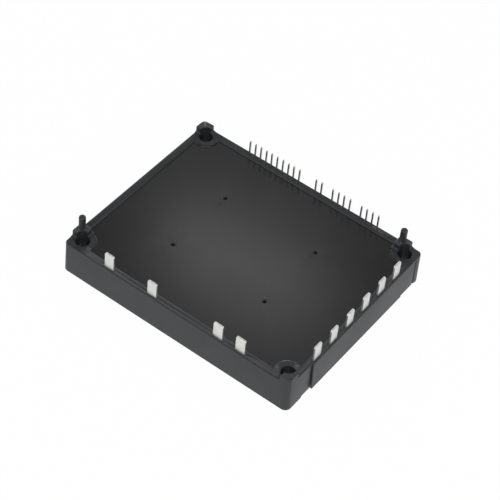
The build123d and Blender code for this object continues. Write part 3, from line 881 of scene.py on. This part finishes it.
def area_light(name, place, target, size, radiance, turn=0.0):
    """A soft light of a given size and radiance, faced from its place to a target and turned on its axis."""
    lamp = bpy.data.lights.new(name, "AREA")
    lamp.shape = "RECTANGLE"
    lamp.size, lamp.size_y = size
    lamp.energy = radiance * np.pi * size[0] * size[1]
    made = bpy.data.objects.new(name, lamp)
    bpy.context.scene.collection.objects.link(made)
    made.location = place
    made.rotation_mode = "QUATERNION"
    faced = (Vector(target) - Vector(place)).to_track_quat("-Z", "Y")
    made.rotation_quaternion = faced @ Quaternion((0, 0, 1), turn)


def make_lights():
    """Two soft lights behind the module, which its cover and its edges mirror, and four round it."""
    area_light("back_softbox", place=(-0.319, 0.494, 0.68), target=COVER_MIDDLE,
               size=(0.15, 0.03), radiance=5.8, turn=radians(-21))
    area_light("low_strip", place=(-0.68, 0.96, 0.22), target=COVER_MIDDLE,
               size=(0.26, 0.2), radiance=4.5)
    area_light("top_softbox", place=(0.25, -0.25, 1.3), target=MODULE_FOOT,
               size=(0.9, 0.9), radiance=1.3)
    area_light("front_softbox", place=(0.35, -1.3, 0.7), target=MODULE_FOOT,
               size=(1.0, 0.7), radiance=1.3)
    area_light("side_softbox", place=(1.2, -0.2, 0.7), target=MODULE_FOOT,
               size=(0.7, 0.7), radiance=1.2)
    area_light("left_softbox", place=(-1.1, -0.6, 0.9), target=MODULE_FOOT,
               size=(0.7, 0.7), radiance=1.0)


def floor_material():
    """White floor: even white to the camera and in reflections, with a trace of the true shading.

    It is clear from below, so that the module's underside can be seen.
    """
    material = bpy.data.materials.new("white_floor")
    material.use_nodes = True
    tree = material.node_tree
    tree.nodes.clear()
    net = Net(tree)
    ray = net.add("ShaderNodeLightPath")
    seen = net.math("MAXIMUM", ray.outputs["Is Camera Ray"], ray.outputs["Is Glossy Ray"])
    seen = net.math("MAXIMUM", seen, ray.outputs["Is Transmission Ray"])
    share = net.math("MULTIPLY", seen, FLOOR_GLOW_SHARE)
    paint = net.add("ShaderNodeBsdfDiffuse", {"Color": FLOOR_PAINT})
    strength = net.blend(ray.outputs["Is Camera Ray"], FLOOR_MIRRORED, FLOOR_SEEN)
    glow = net.add("ShaderNodeEmission", {"Color": (1.0, 1.0, 1.0, 1.0), "Strength": strength})
    both = net.add("ShaderNodeMixShader", {0: share, 1: paint.outputs[0], 2: glow.outputs[0]})
    clear = net.add("ShaderNodeBsdfTransparent")
    below = net.add("ShaderNodeNewGeometry").outputs["Backfacing"]
    sided = net.add("ShaderNodeMixShader", {0: below, 1: both.outputs[0], 2: clear.outputs[0]})
    out = net.add("ShaderNodeOutputMaterial")
    tree.links.new(sided.outputs[0], out.inputs["Surface"])
    return material


def make_floor():
    """A large flat floor a hair under the module, as one square of a two by two grid."""
    axis = np.array([-FLOOR_HALF, FLOOR_HALF])
    grid_x, grid_y = np.meshgrid(axis, axis)
    points = np.stack([grid_x, grid_y, np.full_like(grid_x, -SEAM)], axis=-1)
    floor = mesh_object("floor", points, [[0, 1, 3, 2]], floor_material(), smooth=False)


def make_world(strength, ceiling):
    """An even grey room for light, white to the camera.

    Reflections see a white backdrop that fades with height into a dim ceiling.
    """
    world = bpy.data.worlds.new("room")
    bpy.context.scene.world = world
    world.use_nodes = True
    tree = world.node_tree
    tree.nodes.clear()
    net = Net(tree)
    ray = net.add("ShaderNodeLightPath")
    height = net.split(net.add("ShaderNodeTexCoord").outputs["Generated"]).outputs["Z"]
    backdrop = net.ramp(height, *BACKDROP_FADE, 1.0, ceiling)
    mirrored = net.math("MAXIMUM", ray.outputs["Is Glossy Ray"], ray.outputs["Is Transmission Ray"])
    level = net.blend(mirrored, strength, backdrop)
    level = net.blend(ray.outputs["Is Camera Ray"], level, 1.0)
    back = net.add("ShaderNodeBackground", {"Color": (1.0, 1.0, 1.0, 1.0), "Strength": level})
    out = net.add("ShaderNodeOutputWorld")
    tree.links.new(back.outputs[0], out.inputs["Surface"])


def make_camera(stage):
    """The photograph's camera: place, line of sight and roll about it."""
    azimuth, elevation, roll = stage.azimuth, stage.elevation, stage.roll
    forward = Vector((-np.sin(azimuth) * np.cos(elevation), np.cos(azimuth) * np.cos(elevation),
                      -np.sin(elevation)))
    level_right = Vector((np.cos(azimuth), np.sin(azimuth), 0))
    level_up = level_right.cross(forward)
    right = level_right * np.cos(roll) + level_up * np.sin(roll)
    upward = level_up * np.cos(roll) - level_right * np.sin(roll)
    data = bpy.data.cameras.new("camera")
    data.sensor_width = SENSOR_WIDTH
    data.lens = SENSOR_WIDTH * stage.focal_pixels / IMAGE_SIZE
    data.clip_start, data.clip_end = 0.01, 10.0
    camera = bpy.data.objects.new("camera", data)
    bpy.context.scene.collection.objects.link(camera)
    turn = Matrix((right, upward, -forward)).transposed().to_4x4()
    camera.matrix_world = Matrix.Translation(stage.camera_place) @ turn
    bpy.context.scene.camera = camera


class MODULE_OT_stage(bpy.types.Operator):
    """Build the floor, the soft lights and the photograph's camera"""
    bl_idname = "power_module.stage"
    bl_label = "Stage"

    def execute(self, context):
        stage = settings().stage
        context.scene.view_settings.view_transform = "Standard"
        make_camera(stage)
        make_floor()
        make_world(stage.world_strength, stage.ceiling)
        make_lights()
        return {"FINISHED"}


class PowerModuleSettings(bpy.types.PropertyGroup):
    terminal: PointerProperty(name="Terminals", description="Flat terminals", type=TerminalShape)
    pin: PointerProperty(name="Pins", description="Control pins", type=PinShape)
    plastic: PointerProperty(name="Plastic", description="Frame and cover", type=PlasticFinish)
    stage: PointerProperty(name="Stage", description="Camera and room", type=StageSettings)


class MODULE_PT_panel(bpy.types.Panel):
    """Lists the module's pieces and its settings"""
    bl_idname = "MODULE_PT_panel"
    bl_label = "Power Module"
    bl_space_type = "VIEW_3D"
    bl_region_type = "UI"
    bl_category = "Power Module"

    def draw(self, context):
        for operator in OPERATORS:
            self.layout.operator(operator.bl_idname)
        module = context.scene.power_module
        for group in (module.terminal, module.pin, module.plastic, module.stage):
            box = self.layout.box()
            for name in group.__annotations__:
                box.prop(group, name)


OPERATORS = (
    MODULE_OT_stage,
    MODULE_OT_mouldings,
    MODULE_OT_collars,
    MODULE_OT_base_plate,
    MODULE_OT_terminals,
    MODULE_OT_pins,
    MODULE_OT_inner_pieces,
)
CLASSES = (
    TerminalShape,
    PinShape,
    PlasticFinish,
    StageSettings,
    PowerModuleSettings,
    *OPERATORS,
    MODULE_PT_panel,
)


def register():
    """Registers every class and hangs the settings on the scene."""
    for item in CLASSES:
        bpy.utils.register_class(item)
    bpy.types.Scene.power_module = PointerProperty(type=PowerModuleSettings)


def unregister():
    """Takes the settings off the scene and unregisters every class."""
    del bpy.types.Scene.power_module
    for item in reversed(CLASSES):
        bpy.utils.unregister_class(item)


def main():
    register()
    for operator in OPERATORS:
        category, name = operator.bl_idname.split(".")
        getattr(getattr(bpy.ops, category), name)()


if __name__ == "__main__":
    main()
